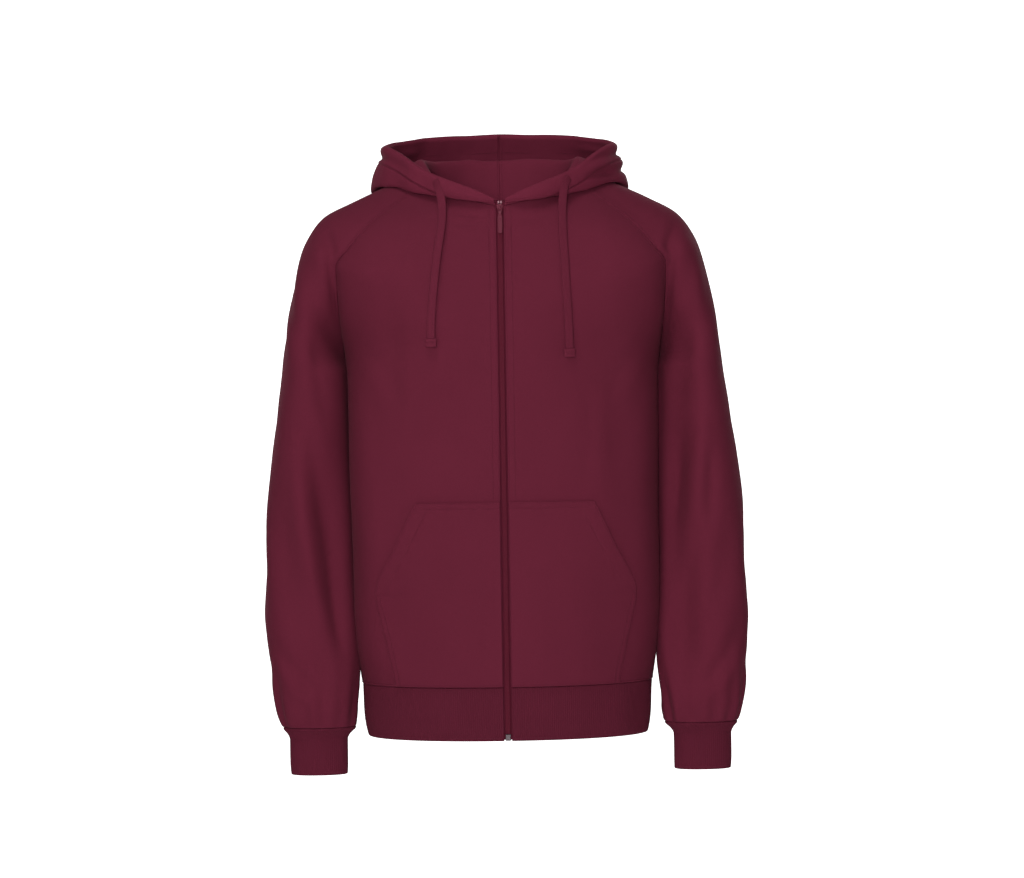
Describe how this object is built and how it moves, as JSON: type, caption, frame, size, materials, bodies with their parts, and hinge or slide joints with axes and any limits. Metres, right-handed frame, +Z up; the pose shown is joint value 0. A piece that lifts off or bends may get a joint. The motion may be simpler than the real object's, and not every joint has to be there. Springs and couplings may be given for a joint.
{
  "type": "zip-up hoodie",
  "caption": "Filled-out raglan zip-up hoodie in bordeaux fleece, with hood, drawcords, kangaroo pocket, ribbed cuffs and hem, and a turning zip pull tab.",
  "frame": {"origin": "middle of the neck at the height where the shoulders meet it", "axes": "+Z up, +X to the wearer's left, the zip faces -Y"},
  "size_m": [0.608, 0.3138, 0.818],
  "materials": {
    "fleece": "brushed sweatshirt fleece, matt with a soft nap",
    "rib": "1x1 rib knit, matt",
    "cord": "flat knitted cord, matt",
    "tape": "woven zip tape",
    "coil": "dyed nylon coil, satin",
    "metal": "enamelled in the cloth's colour, satin",
    "steel": "dark grey metal, satin"
  },
  "bodies": {
    "garment": {"front_left": "fleece", "front_right": "fleece", "back": "fleece", "sleeve_left": "fleece", "sleeve_right": "fleece", "hood_left": "fleece", "hood_right": "fleece", "pocket_left": "fleece", "pocket_right": "fleece", "cuff_left": "rib", "cuff_right": "rib", "hem_rib": "rib", "drawcord_left": "cord", "drawcord_right": "cord", "cord_end_left": "cord", "cord_end_right": "cord", "zip_tape_left": "tape", "zip_tape_right": "tape", "zip_chain": "coil", "zip_slider": "metal", "zip_box": "steel", "zip_stop_left": "steel", "zip_stop_right": "steel"},
    "pull": {"zip_pull": "metal"}
  },
  "joints": [
    {"name": "pull_hinge", "type": "hinge", "parent": "garment", "child": "pull", "pos_m": [0, -0.10236, -0.059], "axis": [-1, 0, 0], "range_deg": [0, 160]}
  ]
}
